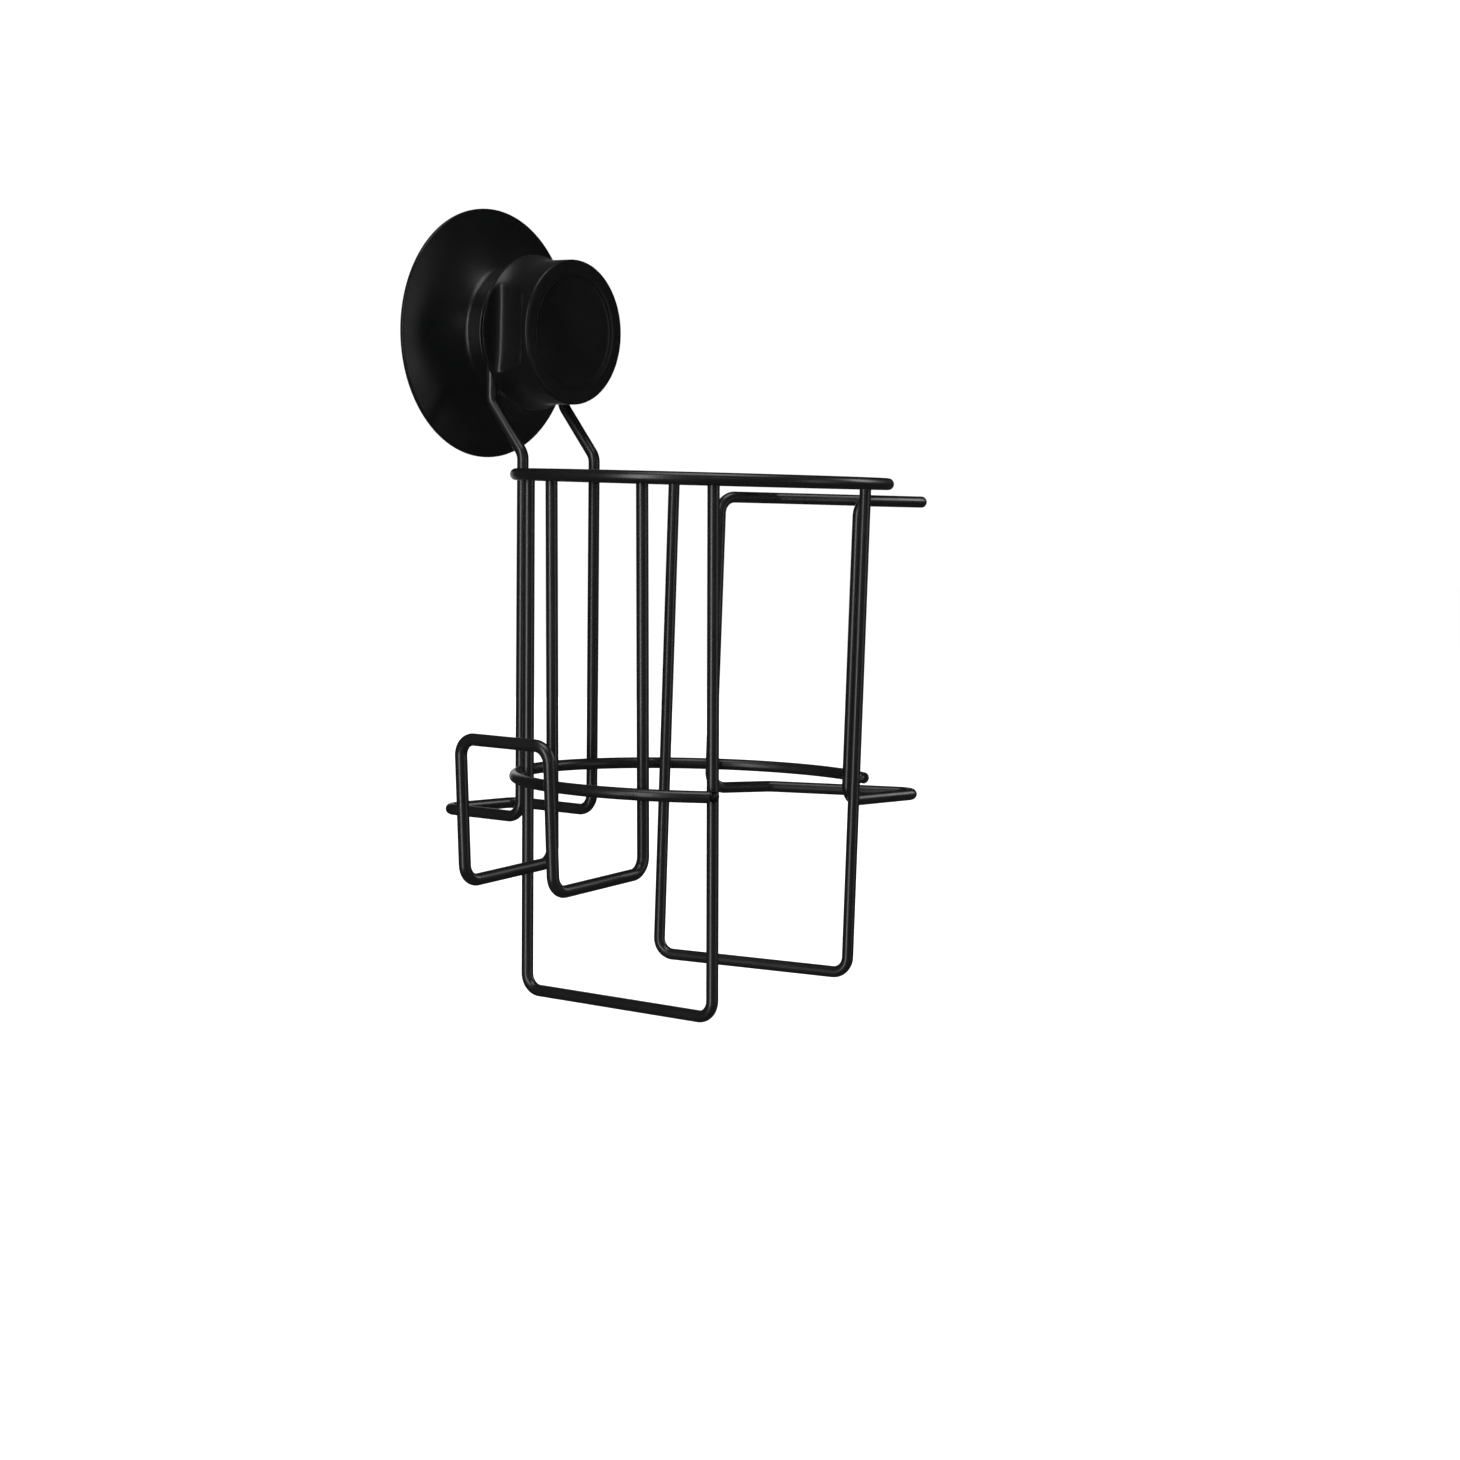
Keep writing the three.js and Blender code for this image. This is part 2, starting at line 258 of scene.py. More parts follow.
@dataclass(frozen=True)
class MouldedRubber:
    """Black soft PVC rubber, moulded in a turned and polished steel tool.

    The tool leaves very fine rings round the axis. Handling leaves the skin a little cloudy, so its
    wide highlights fade in and out.
    """

    colour: str = "#040405"
    bloom_colour: str = "#08090b"
    roughness: tuple[float, float] = (0.31, 0.4)
    cloud_size: float = 14 * MM
    grain_size: float = 0.9 * MM
    ring_pitch: float = 0.8 * MM      # turning marks are near 0.1 mm; drawn coarser so that they show
    relief: float = 0.01 * MM

    def material(self) -> bpy.types.Material:
        """Build the rubber's material and return it."""
        material = bpy.data.materials.new("black_soft_pvc_rubber")
        material.use_nodes = True
        tree = material.node_tree
        shader = tree.nodes["Principled BSDF"]
        place = add_node(tree, "ShaderNodeTexCoord").outputs["Object"]
        cloud = add_node(tree, "ShaderNodeTexNoise",
                         inputs={"Vector": place, "Scale": 1 / self.cloud_size, "Detail": 5.0})
        tint = add_node(tree, "ShaderNodeMix", {"data_type": "RGBA"},
                        {0: cloud.outputs[0], 6: linear(self.colour), 7: linear(self.bloom_colour)})
        gloss = add_node(tree, "ShaderNodeMapRange", inputs={
            "Value": cloud.outputs[0], "From Min": 0.3, "From Max": 0.7,
            "To Min": self.roughness[0], "To Max": self.roughness[1]})
        rings = add_node(tree, "ShaderNodeTexWave",
                         {"wave_type": "RINGS", "rings_direction": "Y", "wave_profile": "SIN"},
                         {"Vector": place, "Scale": math.pi / (10 * self.ring_pitch), "Distortion": 0.6})
        grain = add_node(tree, "ShaderNodeTexNoise",
                         inputs={"Vector": place, "Scale": 1 / self.grain_size, "Detail": 3.0})
        relief = add_node(tree, "ShaderNodeMix", {"data_type": "FLOAT"},
                          {0: 0.7, 2: rings.outputs["Fac"], 3: grain.outputs[0]})
        bump = add_node(tree, "ShaderNodeBump", inputs={
            "Height": relief.outputs[0], "Strength": 0.5, "Distance": self.relief})
        tree.links.new(tint.outputs[2], shader.inputs["Base Color"])
        tree.links.new(gloss.outputs[0], shader.inputs["Roughness"])
        tree.links.new(bump.outputs[0], shader.inputs["Normal"])
        shader.inputs["IOR"].default_value = 1.5
        shader.inputs["Specular IOR Level"].default_value = 0.4
        shader.inputs["Sheen Weight"].default_value = 0.03
        shader.inputs["Sheen Roughness"].default_value = 0.4
        return material


@dataclass(frozen=True)
class StudioPaper:
    """White seamless background paper, matt, with a faint unevenness. It is clear when seen from below."""

    colour: str = "#fdfdfd"
    shade_colour: str = "#fbfbfa"
    cloud_size: float = 0.4

    def material(self) -> bpy.types.Material:
        """Build the paper's material and return it."""
        material = bpy.data.materials.new("white_studio_paper")
        material.use_nodes = True
        tree = material.node_tree
        shader = tree.nodes["Principled BSDF"]
        place = add_node(tree, "ShaderNodeTexCoord").outputs["Object"]
        cloud = add_node(tree, "ShaderNodeTexNoise",
                         inputs={"Vector": place, "Scale": 1 / self.cloud_size, "Detail": 2.0})
        tint = add_node(tree, "ShaderNodeMix", {"data_type": "RGBA"},
                        {0: cloud.outputs[0], 6: linear(self.colour), 7: linear(self.shade_colour)})
        back = add_node(tree, "ShaderNodeNewGeometry").outputs["Backfacing"]
        cover = add_node(tree, "ShaderNodeMath", {"operation": "SUBTRACT"}, {0: 1.0, 1: back})
        tree.links.new(tint.outputs[2], shader.inputs["Base Color"])
        tree.links.new(cover.outputs[0], shader.inputs["Alpha"])
        shader.inputs["Roughness"].default_value = 1.0
        shader.inputs["Specular IOR Level"].default_value = 0.0
        return material


@dataclass(frozen=True)
class BlackFelt:
    """Matt black felt on the card that shades the cup from one lamp."""

    colour: str = "#020202"

    def material(self) -> bpy.types.Material:
        """Build the felt's material and return it."""
        material = bpy.data.materials.new("black_felt")
        material.use_nodes = True
        shader = material.node_tree.nodes["Principled BSDF"]
        shader.inputs["Base Color"].default_value = linear(self.colour)
        shader.inputs["Roughness"].default_value = 1.0
        shader.inputs["Specular IOR Level"].default_value = 0.0
        return material


# ---- Suction cup ------------------------------------------------------------------------------------


@dataclass
class SuctionCup:
    """The moulded cup: a dish that grips the wall, a neck for the hanger wire and a head to pull on.

    Lengths are in metres. Distances along the cup's axis are counted out from the wall.
    """

    rim_r: float = 35 * MM            # outer edge of the dish
    lip_w: float = 3.5 * MM           # flat lip that seals against the wall
    edge_t: float = 1.2 * MM          # rubber at the edge of the dish
    hollow: float = 8.5 * MM          # depth of the vacuum hollow
    collar_r: float = 18 * MM
    collar_out: float = 9 * MM
    dish_curve: tuple[float, float] = (0.45, 2.6)    # even share of the dish's rise, power of the rest
    collar_step: tuple[float, float] = (0.5 * MM, 0.9 * MM)   # shoulder round the collar's foot
    neck_r: float = 13.1 * MM
    groove_out: tuple[float, float] = (14.6 * MM, 18.4 * MM)
    head_r: float = 20 * MM
    head_lip_r: float = 21.6 * MM
    head_lip_w: float = 0.9 * MM
    head_waist_out: float = 25 * MM
    face_rim_w: float = 4 * MM        # plain rim round the sunk front face
    face_step: tuple[float, float] = (0.8 * MM, 0.6 * MM)     # slope down from that rim
    face_sink: float = 0.9 * MM       # depth of the face's middle
    edge_round: float = 0.7 * MM
    recess_r: tuple[float, float, float] = (6.3 * MM, 6.4 * MM, 19.0 * MM)
    recess_power: tuple[float, float, float] = (7.0, 2.6, 4.0)   # squareness: wall side, front, up
    recess_x: float = 22.4 * MM
    recess_out: float = 25.3 * MM
    recess_up: float = 1.8 * MM       # the cup is stuck on slightly turned, so its recesses sit off level
    turns: int = 216                  # facets round the axis
    finish: MouldedRubber = field(default_factory=MouldedRubber)

    def __post_init__(self) -> None:
        """Take the head's front face from the frame."""
        self.front_out = -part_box("suction_cup")[0].y

    def outline(self) -> list[tuple[float, float]]:
        """Corner points of the half section as (radius, distance out), from the hollow to the front.

        Returns:
            Points that start and end on the axis, with curves as short runs.
        """
        hollow_r = self.rim_r - self.lip_w
        steps = 22
        points = [(hollow_r * i / steps, self.hollow * (1 - (i / steps) ** 2)) for i in range(steps)]
        points += [(hollow_r, 0.0), (self.rim_r, 0.0), (self.rim_r, self.edge_t)]
        rise = self.collar_out - self.edge_t
        even, power = self.dish_curve
        shoulder_r, shoulder_out = self.collar_step
        for i in range(1, steps + 1):
            s = i / steps
            radius = self.rim_r + (self.collar_r + shoulder_r - self.rim_r) * s
            points.append((radius, self.edge_t + rise * (even * s + (1 - even) * s ** power)))
        back, front = self.groove_out
        flare = front + self.head_lip_w
        points += [(self.collar_r, self.collar_out + shoulder_out)]
        points += [(self.collar_r, back), (self.neck_r, back)]
        points += [(self.neck_r, front), (self.head_lip_r, front), (self.head_lip_r, flare)]
        points += self.waist(flare)
        face_r = self.head_r - self.face_rim_w
        step_in, step_back = self.face_step
        points += [(self.head_r, self.front_out), (face_r, self.front_out)]
        points += [(face_r - step_in, self.front_out - step_back), (0.0, self.front_out - self.face_sink)]
        return points

    def waist(self, start: float) -> list[tuple[float, float]]:
        """The head's flank, which fades from its lip to its plain radius.

        Args:
            start: Distance out where the flare starts.

        Returns:
            Points along the flank.
        """
        steps = 8
        flank = []
        for i in range(1, steps + 1):
            s = i / steps
            radius = self.head_r + (self.head_lip_r - self.head_r) * (1 - s) ** 2
            flank.append((radius, start + (self.head_waist_out - start) * s))
        return flank

    def rounded_outline(self) -> list[tuple[float, float]]:
        """The outline with each sharp corner turned into a small arc.

        Returns:
            Points of the finished half section.
        """
        sharp = math.radians(20)      # corners that turn less stay as they are
        share = 0.45                  # most of a neighbouring run that an arc may use
        raw = [Vector(p) for p in self.outline()]
        out = [raw[0]]
        for before, corner, after in zip(raw, raw[1:], raw[2:]):
            turn = (corner - before).angle(after - corner)
            if turn < sharp:
                out.append(corner)
                continue
            reach = min(self.edge_round, share * (corner - before).length, share * (after - corner).length)
            start = corner + (before - corner).normalized() * reach
            end = corner + (after - corner).normalized() * reach
            arc = 5
            for i in range(arc + 1):
                t = i / arc
                out.append(start * (1 - t) ** 2 + corner * 2 * t * (1 - t) + end * t ** 2)
        return [(p.x, p.y) for p in out + [raw[-1]]]

    def split(self, outline: list[tuple[float, float]]) -> list[tuple[float, float]]:
        """Add points on the head's long straight runs, so that the thumb recess has mesh to bend.

        Args:
            outline: Finished half section.

        Returns:
            The same section with no step longer than 0.6 mm past the neck groove.
        """
        longest = 0.6 * MM
        head_start = self.groove_out[1] - 0.01 * MM   # a hair early, against rounding
        out = [outline[0]]
        for (r0, y0), (r1, y1) in zip(outline, outline[1:]):
            span = math.hypot(r1 - r0, y1 - y0)
            pieces = math.ceil(span / longest) if min(y0, y1) >= head_start else 1
            for i in range(1, pieces + 1):
                out.append((r0 + (r1 - r0) * i / pieces, y0 + (y1 - y0) * i / pieces))
        return out

    def recessed(self, point: Vector) -> Vector:
        """Press a point of the head in to the floor of the thumb recess on its side.

        Args:
            point: Point of the turned head.

        Returns:
            The point, moved towards the middle where it lies in the recess.
        """
        rx, ry, rz = self.recess_r
        back, front, up = self.recess_power
        ahead = -point.y - self.recess_out
        lift = point.z + math.copysign(self.recess_up, point.x)
        reach = 1 - abs(ahead / ry) ** (front if ahead > 0 else back) - abs(lift / rz) ** up
        if reach <= 0:
            return point
        floor = self.recess_x - rx * math.sqrt(reach)
        depth = abs(point.x) - floor
        soft = 0.25 * MM
        press = 0.5 * (depth + math.sqrt(depth * depth + soft * soft)) - 0.5 * soft
        if press <= 0:
            return point
        return Vector((point.x - math.copysign(press, point.x), point.y, point.z))

    def build(self) -> bpy.types.Object:
        """Turn the section about the cup's axis, press in the recesses and dress the piece.

        Returns:
            The finished cup.
        """
        section = self.split(self.rounded_outline())
        verts = [Vector((0, -section[0][1], 0)), Vector((0, -section[-1][1], 0))]
        rings = section[1:-1]
        for radius, out in rings:
            for k in range(self.turns):
                a = 2 * math.pi * k / self.turns
                verts.append(self.recessed(Vector((radius * math.cos(a), -out, radius * math.sin(a)))))
        faces = []
        for i in range(len(rings) - 1):
            for k in range(self.turns):
                a = 2 + i * self.turns + k
                b = 2 + i * self.turns + (k + 1) % self.turns
                faces.append((a, b, b + self.turns, a + self.turns))
        last = 2 + (len(rings) - 1) * self.turns
        for k in range(self.turns):
            n = (k + 1) % self.turns
            faces.append((0, 2 + n, 2 + k))
            faces.append((1, last + k, last + n))
        mesh = bpy.data.meshes.new("moulded_cup")
        mesh.from_pydata(verts, [], faces)
        mesh.shade_smooth()
        mesh.materials.append(self.finish.material())
        mesh.validate()
        piece = bpy.data.objects.new("moulded_cup", mesh)
        bpy.context.scene.collection.objects.link(piece)
        mount_piece(piece, Body.CUP, Slot.RUBBER, "suction_cup")
        return piece


# ---- Wire -------------------------------------------------------------------------------------------


# Thickness of a wire's cut end, where the coat rounds it, against millimetres from the tip.
END_ROUND = ((0.0, 0.66), (0.07, 0.82), (0.2, 0.93), (0.42, 0.985), (0.7, 1.0))
# Thickness of a ground-down butt weld against millimetres along the wire.
BUTT_BEAD = ((-1.3, 1.0), (-0.8, 1.03), (-0.4, 1.075), (0.0, 1.05), (0.4, 1.08), (0.9, 1.025), (1.4, 1.0))
BEND_STEP = 7.5                   # degrees of bend between two points of a line
BEND_THINNING = 0.012             # share of its radius that a wire loses in the middle of a bend
HOOP_STEP = 2.5                   # degrees of hoop between two points of a line


@dataclass
class WireLine:
    """The centreline of one bent wire: points along it and how thick the wire is at each of them."""

    bend_r: float
    closed: bool = False
    points: list[Vector] = field(default_factory=list)
    swell: list[float] = field(default_factory=list)

    def add(self, point: Vector, swell: float = 1.0) -> None:
        """Add one point with the wire's thickness there, as a share of its radius."""
        self.points.append(point.copy())
        self.swell.append(swell)

    def add_end(self, point: Vector, inward: Vector, first: bool) -> None:
        """Add a cut end with a softened edge, where the coat has run round the corner.

        Args:
            point: Tip of the wire.
            inward: Direction from the tip into the wire.
            first: Whether this is the start of the wire.
        """
        for along, swell in END_ROUND if first else reversed(END_ROUND):
            self.add(point + inward.normalized() * along * MM, swell)

    def add_butt_weld(self, point: Vector, along: Vector) -> None:
        """Add the low ground-down bead where the two ends of a closed wire are welded together.

        Args:
            point: Place of the weld.
            along: Direction of the wire there.
        """
        for place, swell in BUTT_BEAD:
            self.add(point + along.normalized() * place * MM, swell)

    def add_bend(self, before: Vector, corner: Vector, after: Vector) -> None:
        """Add the arc that rounds a corner. The wire thins a little on the way round, as bent wire does.

        Args:
            before: Corner before this one.
            corner: Corner to round.
            after: Corner after it.
        """
        into = (corner - before).normalized()
        out = (after - corner).normalized()
        turn = into.angle(out)
        start = corner - into * self.bend_r * math.tan(turn / 2)
        side = (out - into * out.dot(into)).normalized()
        steps = max(3, math.ceil(math.degrees(turn) / BEND_STEP))
        for i in range(steps + 1):
            a = turn * i / steps
            arm = into * math.sin(a) + side * (1 - math.cos(a))
            self.add(start + arm * self.bend_r, 1 - BEND_THINNING * math.sin(math.pi * i / steps))

    def through(self, corners: list[Vector]) -> "WireLine":
        """Run an open wire through its corners, cut off square at both ends.

        Args:
            corners: Ends and corners, in order.

        Returns:
            This line.
        """
        self.add_end(corners[0], corners[1] - corners[0], first=True)
        for before, corner, after in zip(corners, corners[1:], corners[2:]):
            self.add_bend(before, corner, after)
        self.add_end(corners[-1], corners[-2] - corners[-1], first=False)
        return self

    def loop_through(self, corners: list[Vector]) -> "WireLine":
        """Run a closed wire through its corners, from the butt weld at the first of them.

        Args:
            corners: The weld's place, then each corner in order.

        Returns:
            This line.
        """
        self.closed = True
        self.add_butt_weld(corners[0], corners[1] - corners[-1])
        ring = corners + corners[:1]
        for before, corner, after in zip(ring, ring[1:], ring[2:]):
            self.add_bend(before, corner, after)
        return self

    def host_mesh(self, name: str) -> bpy.types.Mesh:
        """Make a mesh of bare edges along the line, which the sweep tree takes in.

        Args:
            name: Name of the mesh.

        Returns:
            The mesh, with the wire's thickness in its "swell" attribute.
        """
        count = len(self.points)
        edges = [(i, i + 1) for i in range(count - 1)]
        if self.closed:
            edges.append((count - 1, 0))
        mesh = bpy.data.meshes.new(name)
        mesh.from_pydata(self.points, edges, [])
        swell = mesh.attributes.new("swell", "FLOAT", "POINT")
        swell.data.foreach_set("value", self.swell)
        return mesh


def wire_sweep_tree() -> bpy.types.NodeTree:
    """Geometry Nodes tree that sweeps a round section along a line of edges.

    Returns:
        The tree, with inputs Wire Radius, Section Points and Material.
    """
    tree, given = new_geometry_tree("Drawn wire", {
        "Wire Radius": ("NodeSocketFloat", 1.6 * MM),
        "Section Points": ("NodeSocketInt", 20),
        "Material": ("NodeSocketMaterial", None),
    })
    line = add_node(tree, "GeometryNodeMeshToCurve", inputs={"Mesh": given.outputs["Geometry"]})
    swell = add_node(tree, "GeometryNodeInputNamedAttribute", {"data_type": "FLOAT"}, {"Name": "swell"})
    sized = add_node(tree, "GeometryNodeSetCurveRadius",
                     inputs={"Curve": line.outputs["Curve"], "Radius": swell.outputs["Attribute"]})
    section = add_node(tree, "GeometryNodeCurvePrimitiveCircle", inputs={
        "Resolution": given.outputs["Section Points"], "Radius": given.outputs["Wire Radius"]})
    tube = add_node(tree, "GeometryNodeCurveToMesh", inputs={
        "Curve": sized.outputs["Curve"], "Profile Curve": section.outputs["Curve"], "Fill Caps": True})
    end_tree(tree, tube.outputs["Mesh"], given.outputs["Material"])
    return tree


def weld_tree() -> bpy.types.NodeTree:
    """Geometry Nodes tree that puts one weld fillet at each crossing of two wires.

    Returns:
        The tree, with inputs Fillet and Material. The points' "across" and "along" attributes turn it.
    """
    tree, given = new_geometry_tree("Spot welds", {
        "Fillet": ("NodeSocketObject", None),
        "Material": ("NodeSocketMaterial", None),
    })
    spots = add_node(tree, "GeometryNodeMeshToPoints", inputs={"Mesh": given.outputs["Geometry"]})
    across, along = (
        add_node(tree, "GeometryNodeInputNamedAttribute", {"data_type": "FLOAT_VECTOR"}, {"Name": name})
        for name in ("across", "along"))
    turn = add_node(tree, "FunctionNodeAxesToRotation", {"primary_axis": "Z", "secondary_axis": "X"}, {
        "Primary Axis": across.outputs["Attribute"], "Secondary Axis": along.outputs["Attribute"]})
    fillet = add_node(tree, "GeometryNodeObjectInfo", inputs={"Object": given.outputs["Fillet"]})
    copies = add_node(tree, "GeometryNodeInstanceOnPoints", inputs={
        "Points": spots.outputs["Points"], "Instance": fillet.outputs["Geometry"],
        "Rotation": turn.outputs["Rotation"]})
    end_tree(tree, copies.outputs["Instances"], given.outputs["Material"])
    return tree


@dataclass(frozen=True)
class Hoop:
    """A level ring of wire. Angles run from straight ahead, away from the wall, towards +X."""

    radius: float
    centre: Vector
    turned: float = 0.0

    def point(self, degrees: float, inward: float = 0.0) -> Vector:
        """A point on the hoop, or inside it.

        Args:
            degrees: Angle from straight ahead.
            inward: Distance from the hoop towards its middle.

        Returns:
            The point.
        """
        a = math.radians(degrees + self.turned)
        reach = self.radius - inward
        return self.centre + Vector((reach * math.sin(a), -reach * math.cos(a), 0))

    def outward(self, degrees: float) -> Vector:
        """Unit vector from the hoop's middle out through a point of it."""
        a = math.radians(degrees + self.turned)
        return Vector((math.sin(a), -math.cos(a), 0))


@dataclass(frozen=True)
class Weld:
    """One spot weld: the hoop's wire direction, and the way from the hoop's wire to the other wire."""

    place: Vector
    along: Vector
    across: Vector


@dataclass
class WireRack:
    """The welded wire rack: two hoops, a hanger, two cradle wires, a cord hook and side loops.

    Lengths are in metres and angles in degrees from straight ahead towards +X.
    """

    wire_r: float = 1.6 * MM
    bend_r: float = 4.5 * MM
    weld_gap: float = 0.3 * MM
    section_points: int = 20          # corners of the drawn wire's section
    upright_end: float = 0.9 * MM     # cut end of an upright above the middle of the top hoop's wire
    low_radius: float = 49.1 * MM
    low_centre_y: float = -80.9 * MM
    low_turned: float = 1.7
    low_ends: tuple[float, float] = (-49.0, 57.0)
    cradle_legs: dict[Side, tuple[float, float]] = field(
        default_factory=lambda: {Side.LEFT: (-47.6, -138.6), Side.RIGHT: (54.8, 138.6)})
    hook_legs: tuple[float, float] = (-70.4, -108.9)
    hook_level: float = -141.2 * MM
    hook_x: float = -76.8 * MM
    hook_droop: float = 4.5
    hook_height: float = 37 * MM
    loop_legs: tuple[float, float] = (60.4, 122.0)
    loop_drops: tuple[float, float] = (4.6 * MM, 6.6 * MM)
    loop_tip: tuple[float, float] = (76.3 * MM, -103.1 * MM)
    loop_back: tuple[float, float] = (56 * MM, -63 * MM)
    hanger_knee_z: float = -34.1 * MM
    hanger_neck_z: float = -19.6 * MM
    groove_y: float = -16.5 * MM
    hanger_x: float = 15 * MM
    foot_y: float = -1.7 * MM
    foot_z: float = -134.5 * MM
    finish: PowderCoat = field(default_factory=PowderCoat)

    def __post_init__(self) -> None:
        """Take the hoops from the frame and make what all the wires share."""
        low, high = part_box("top_ring")
        self.top = Hoop((high.x - low.x) / 2 - self.wire_r, (low + high) / 2)
        low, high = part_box("lower_ring")
        centre = Vector((0, self.low_centre_y, (low.z + high.z) / 2))
        self.lower = Hoop(self.low_radius, centre, self.low_turned)
        self.crossing = 2 * self.wire_r + self.weld_gap
        self.coat = self.finish.material()
        self.sweep = wire_sweep_tree()
        self.welds: list[Weld] = []

    def drawn(self, node: str, line: WireLine) -> None:
        """Sweep one wire along its line and put it in place of its CAD node.

        Args:
            node: CAD node that the wire stands for.
            line: Its centreline.
        """
        values = {"Wire Radius": self.wire_r, "Section Points": self.section_points, "Material": self.coat}
        piece = made_by_nodes(f"drawn_{node}", line.host_mesh(f"{node}_line"), self.sweep, values)
        mount_piece(piece, Body.RACK, Slot.WIRE, node)

    def leg_point(self, degrees: float, z: float) -> Vector:
        """The point at a level on the upright that is welded inside both hoops at an angle.

        Args:
            degrees: Place of the upright round the hoops.
            z: Level.

        Returns:
            The point on the upright's centreline.
        """
        top = self.top.point(degrees, self.crossing)
        low = self.lower.point(degrees, self.crossing)
        return top.lerp(low, (z - top.z) / (low.z - top.z))

    def leg_end(self, degrees: float) -> Vector:
        """The cut top end of an upright, just above the middle of the top hoop's wire."""
        return self.leg_point(degrees, self.top.centre.z + self.upright_end)

    def weld_leg(self, degrees: float) -> None:
        """Note the two welds that hold an upright inside the hoops.

        Args:
            degrees: Place of the upright round the hoops.
        """
        self.weld_inside(self.top, degrees)
        self.weld_inside(self.lower, degrees)

    def weld_inside(self, hoop: Hoop, degrees: float) -> None:
        """Note the weld that holds an upright inside one hoop.

        Args:
            hoop: The hoop.
            degrees: Place of the upright round it.
        """
        out = hoop.outward(degrees)
        along = Vector((-out.y, out.x, 0))
        self.welds.append(Weld(hoop.point(degrees, self.crossing / 2), along, -out))

    def build_top_hoop(self) -> None:
        """Draw the closed top hoop, butt-welded at its back."""
        line = WireLine(self.bend_r, closed=True)
        line.add_butt_weld(self.top.point(180), Vector((-1, 0, 0)))
        for i in range(2, int(360 / HOOP_STEP) - 1):
            line.add(self.top.point(180 + HOOP_STEP * i))
        self.drawn("top_ring", line)

    def build_lower_hoop(self) -> None:
        """Draw the lower hoop, which is open at the front for the dryer."""
        left, right = self.low_ends
        line = WireLine(self.bend_r)
        start, finish = self.lower.point(right), self.lower.point(left)
        line.add_end(start, self.lower.point(right + 1) - start, first=True)
        sweep = 360 + left - right
        steps = round(sweep / HOOP_STEP)
        for i in range(1, steps):
            line.add(self.lower.point(right + sweep * i / steps))
        line.add_end(finish, self.lower.point(left - 1) - finish, first=False)
        self.drawn("lower_ring", line)

    def build_cradle(self, side: Side) -> None:
        """Draw the U-shaped wire that runs down one side of the rack and back up.

        Args:
            side: Side of the rack.
        """
        node = f"cradle_wire_{side.name.lower()}"
        front, rear = self.cradle_legs[side]
        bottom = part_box(node)[0].z + self.wire_r
        corners = [self.leg_end(rear), self.leg_point(rear, bottom),
                   self.leg_point(front, bottom), self.leg_end(front)]
        self.drawn(node, WireLine(self.bend_r).through(corners))
        self.weld_leg(front)
        self.weld_leg(rear)

    def build_cord_hook(self) -> None:
        """Draw the wire whose lower ends run out and up into a square hook for the coiled cord."""
        droop = math.radians(self.hook_droop)
        upward = Vector((-math.sin(droop), 0, math.cos(droop))) * self.hook_height
        legs, feet = [], []
        for degrees in self.hook_legs:
            leg = self.leg_point(degrees, self.hook_level)
            legs.append(leg)
            feet.append(Vector((self.hook_x, leg.y, leg.z - (leg.x - self.hook_x) * math.tan(droop))))
            self.weld_leg(degrees)
        corners = [self.leg_end(self.hook_legs[0]), legs[0], feet[0], feet[0] + upward,
                   feet[1] + upward, feet[1], legs[1], self.leg_end(self.hook_legs[1])]
        self.drawn("cord_hook_wire", WireLine(self.bend_r).through(corners))

    def build_side_loops(self) -> None:
        """Draw the closed wire on the right: two uprights joined by a level loop under each hoop."""
        front, rear = self.loop_legs
        upper = self.top.centre.z - self.loop_drops[0]
        lower = self.lower.centre.z - self.loop_drops[1]
        corners = [self.leg_point(rear, (upper + lower) / 2), self.leg_point(rear, upper)]
        corners += [Vector((*self.loop_back, upper)), Vector((*self.loop_tip, upper))]
        corners += [self.leg_point(front, upper), self.leg_point(front, lower)]
        corners += [Vector((*self.loop_tip, lower)), Vector((*self.loop_back, lower))]
        corners += [self.leg_point(rear, lower)]
        self.drawn("side_loop_wire", WireLine(self.bend_r).loop_through(corners))
        self.weld_inside(self.lower, front)
        self.weld_inside(self.lower, rear)

    def hanger_leg(self, side: Side, z: float) -> Vector:
        """The point at a level on the hanger's leg, which stands against the backs of both hoops.

        Args:
            side: Side of the hanger.
            z: Level.

        Returns:
            The point on the leg's centreline.
        """
        ends = []
        for hoop in (self.top, self.lower):
            reach = math.sqrt((hoop.radius + self.crossing) ** 2 - self.hanger_x ** 2)
            ends.append(Vector((side.value * self.hanger_x, hoop.centre.y + reach, hoop.centre.z)))
        top, low = ends
        return top.lerp(low, (z - top.z) / (low.z - top.z))

    def hanger_corners(self, side: Side) -> list[Vector]:
        """Corners of one half of the hanger, from its foot bar up to the neck.

        Args:
            side: Side of the hanger.

        Returns:
            Corners, the last of them level with the cup's axis.
        """
        x = side.value * self.hanger_x
        return [Vector((x, self.foot_y, self.foot_z)), self.hanger_leg(side, self.foot_z),
                self.hanger_leg(side, self.hanger_knee_z), Vector((x, self.groove_y, self.hanger_neck_z)),
                Vector((x, self.groove_y, 0))]

